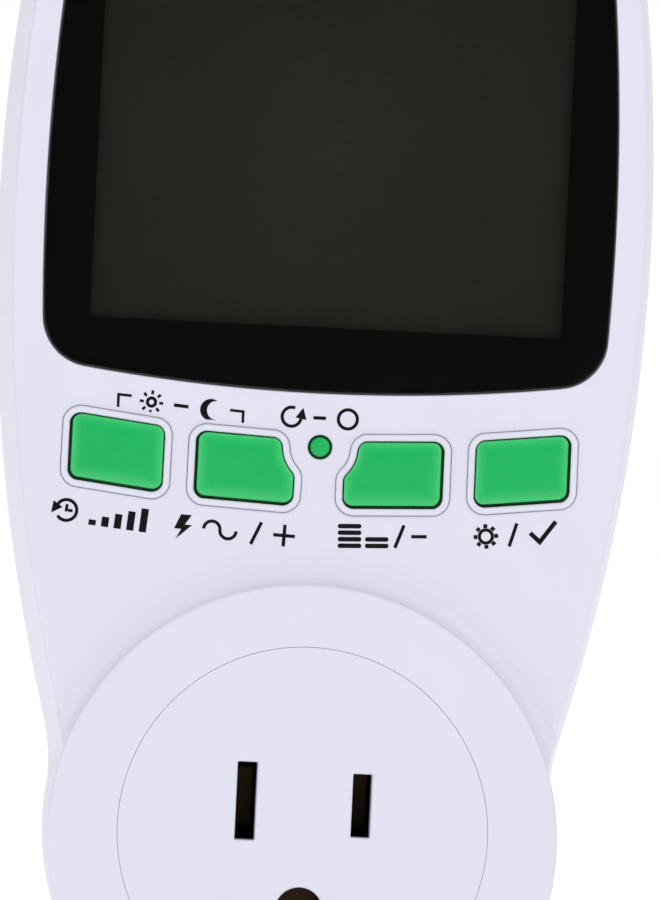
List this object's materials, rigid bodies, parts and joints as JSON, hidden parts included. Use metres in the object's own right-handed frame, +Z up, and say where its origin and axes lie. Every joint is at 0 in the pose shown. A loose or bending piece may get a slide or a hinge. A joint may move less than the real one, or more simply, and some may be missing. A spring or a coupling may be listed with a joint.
{
  "type": "plug-in power meter",
  "caption": "Bowed white case with a dark display window, green keys and a round three-pole outlet in front, and a three-pole plug on the back, for metering the power an appliance draws.",
  "frame": {"origin": "on the plug's mating face, midway between the two flat blades", "axes": "+Y along the plug's blades into the wall outlet, -Y out of the display and outlet face, +Z up towards the display, +X to the right seen from the front"},
  "size_m": [0.0728, 0.057, 0.1368],
  "materials": {
    "case_plastic": "smooth white plastic, satin",
    "smoked_window": "polished smoked acrylic, black print behind",
    "black_plastic": "matt",
    "lcd_glass": "polished",
    "diffuser": "satin",
    "frame_plastic": "satin",
    "elastomer": "matt",
    "circuit_board": "solder mask, semi-gloss",
    "black_epoxy": "semi-gloss",
    "plated_steel": "zinc plated",
    "yellow_epoxy": "semi-gloss",
    "capacitor_sleeve": "shrink sleeve",
    "blue_epoxy": "semi-gloss",
    "fuse_ceramic": "glazed",
    "manganin": "rolled",
    "contact_brass": "stamped",
    "battery_sleeve": "shrink sleeve",
    "insulator": "moulded, matt",
    "plated_brass": "nickel plated brass",
    "black_wire": "PVC insulation",
    "white_wire": "PVC insulation",
    "label_film": "blank silver film",
    "key_plastic": "satin green",
    "plunger_plastic": "moulded"
  },
  "bodies": {
    "case": {"front_cover": "case_plastic", "rear_cover": "case_plastic", "socket_face": "case_plastic", "display_window": "smoked_window", "window_tape": "black_plastic", "lcd_front_glass": "lcd_glass", "lcd_rear_glass": "lcd_glass", "backlight_panel": "diffuser", "lcd_frame": "frame_plastic", "zebra_strip": "elastomer", "control_board": "circuit_board", "controller_chip": "black_epoxy", "crystal_can": "plated_steel", "switch_history": "black_plastic", "switch_energy": "black_plastic", "switch_cost": "black_plastic", "switch_set": "black_plastic", "switch_reset": "black_plastic", "power_board": "circuit_board", "film_capacitor": "yellow_epoxy", "bulk_capacitor": "capacitor_sleeve", "filter_capacitor": "capacitor_sleeve", "varistor": "blue_epoxy", "fuse": "fuse_ceramic", "diodes": "black_epoxy", "metering_chip": "black_epoxy", "shunt": "manganin", "header_housing": "black_plastic", "header_pins": "contact_brass", "backup_battery": "battery_sleeve", "battery_cradle": "black_plastic", "socket_block": "insulator", "contact_line": "contact_brass", "contact_neutral": "contact_brass", "contact_ground": "contact_brass", "line_blade": "plated_brass", "neutral_blade": "plated_brass", "ground_pin": "plated_brass", "neutral_strap": "contact_brass", "ground_strap": "contact_brass", "line_in_wire": "black_wire", "line_out_wire": "black_wire", "neutral_wire": "white_wire", "case_screws": "plated_steel", "board_screws": "plated_steel", "rating_label": "label_film"},
    "history_key": {"key_history": "key_plastic", "plunger_history": "plunger_plastic"},
    "energy_key": {"key_energy": "key_plastic", "plunger_energy": "plunger_plastic"},
    "cost_key": {"key_cost": "key_plastic", "plunger_cost": "plunger_plastic"},
    "set_key": {"key_set": "key_plastic", "plunger_set": "plunger_plastic"},
    "reset_key": {"key_reset": "key_plastic", "plunger_reset": "plunger_plastic"}
  },
  "joints": [
    {"name": "press_history", "type": "slide", "parent": "case", "child": "history_key", "axis": [0, 1, 0], "range_m": [0, 0.0006], "stiffness_N_per_m": 1500, "springref_m": -0.0002},
    {"name": "press_energy", "type": "slide", "parent": "case", "child": "energy_key", "axis": [0, 1, 0], "range_m": [0, 0.0006], "stiffness_N_per_m": 1500, "springref_m": -0.0002},
    {"name": "press_cost", "type": "slide", "parent": "case", "child": "cost_key", "axis": [0, 1, 0], "range_m": [0, 0.0006], "stiffness_N_per_m": 1500, "springref_m": -0.0002},
    {"name": "press_set", "type": "slide", "parent": "case", "child": "set_key", "axis": [0, 1, 0], "range_m": [0, 0.0006], "stiffness_N_per_m": 1500, "springref_m": -0.0002},
    {"name": "press_reset", "type": "slide", "parent": "case", "child": "reset_key", "axis": [0, 1, 0], "range_m": [0, 0.0006], "stiffness_N_per_m": 1500, "springref_m": -0.0002}
  ]
}
